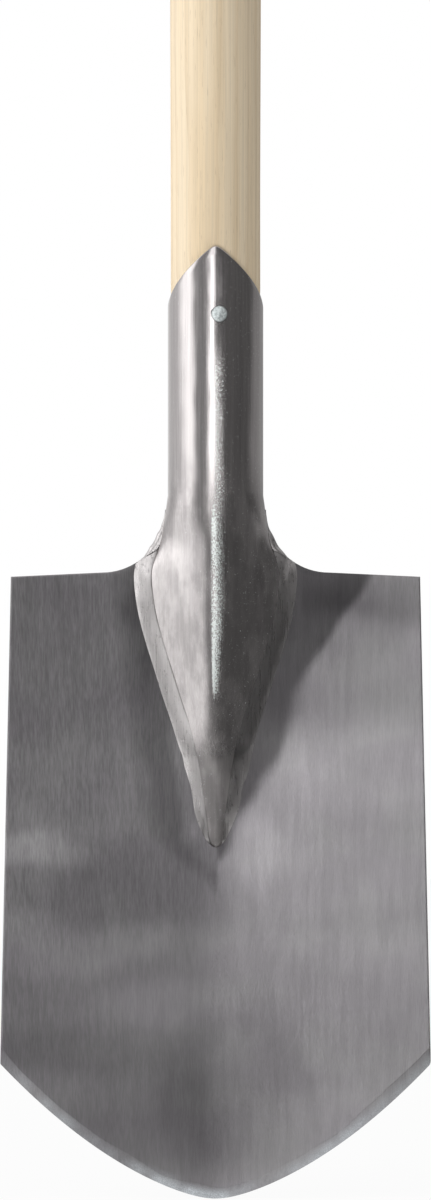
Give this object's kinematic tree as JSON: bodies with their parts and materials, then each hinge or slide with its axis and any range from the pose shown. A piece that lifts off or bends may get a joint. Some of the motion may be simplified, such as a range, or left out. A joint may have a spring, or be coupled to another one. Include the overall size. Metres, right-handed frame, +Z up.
{
  "type": "clay spade",
  "caption": "Narrow digging spade: dished pointed steel blade welded to a split socket, riveted wooden shaft with a T-grip.",
  "frame": {"origin": "middle of the grip's crossbar, where the hand holds the spade", "axes": "+Z up along the shaft, away from the blade's tip; the blade's front faces -Y; +X runs along the crossbar to the right as seen from the front"},
  "size_m": [0.1802, 0.0522, 1.11],
  "materials": {
    "ground_steel": "ground vertically, satin, with darker heat patches",
    "socket_steel": "linished along the tube, satin",
    "weld_steel": "weld metal, ground to a ramp",
    "rivet_steel": "hammered",
    "ash": "bare, sanded, fine straight grain",
    "wedge_wood": "bare hardwood"
  },
  "bodies": {
    "root": {"blade": "ground_steel", "socket": "socket_steel", "socket_rivet": "rivet_steel", "front_weld_left": "weld_steel", "front_weld_right": "weld_steel", "back_weld_left": "weld_steel", "back_weld_right": "weld_steel", "neck_weld_left": "weld_steel", "neck_weld_right": "weld_steel", "handle_shaft": "ash", "grip_crossbar": "ash", "grip_wedge": "wedge_wood", "grip_pin": "rivet_steel"}
  },
  "joints": []
}
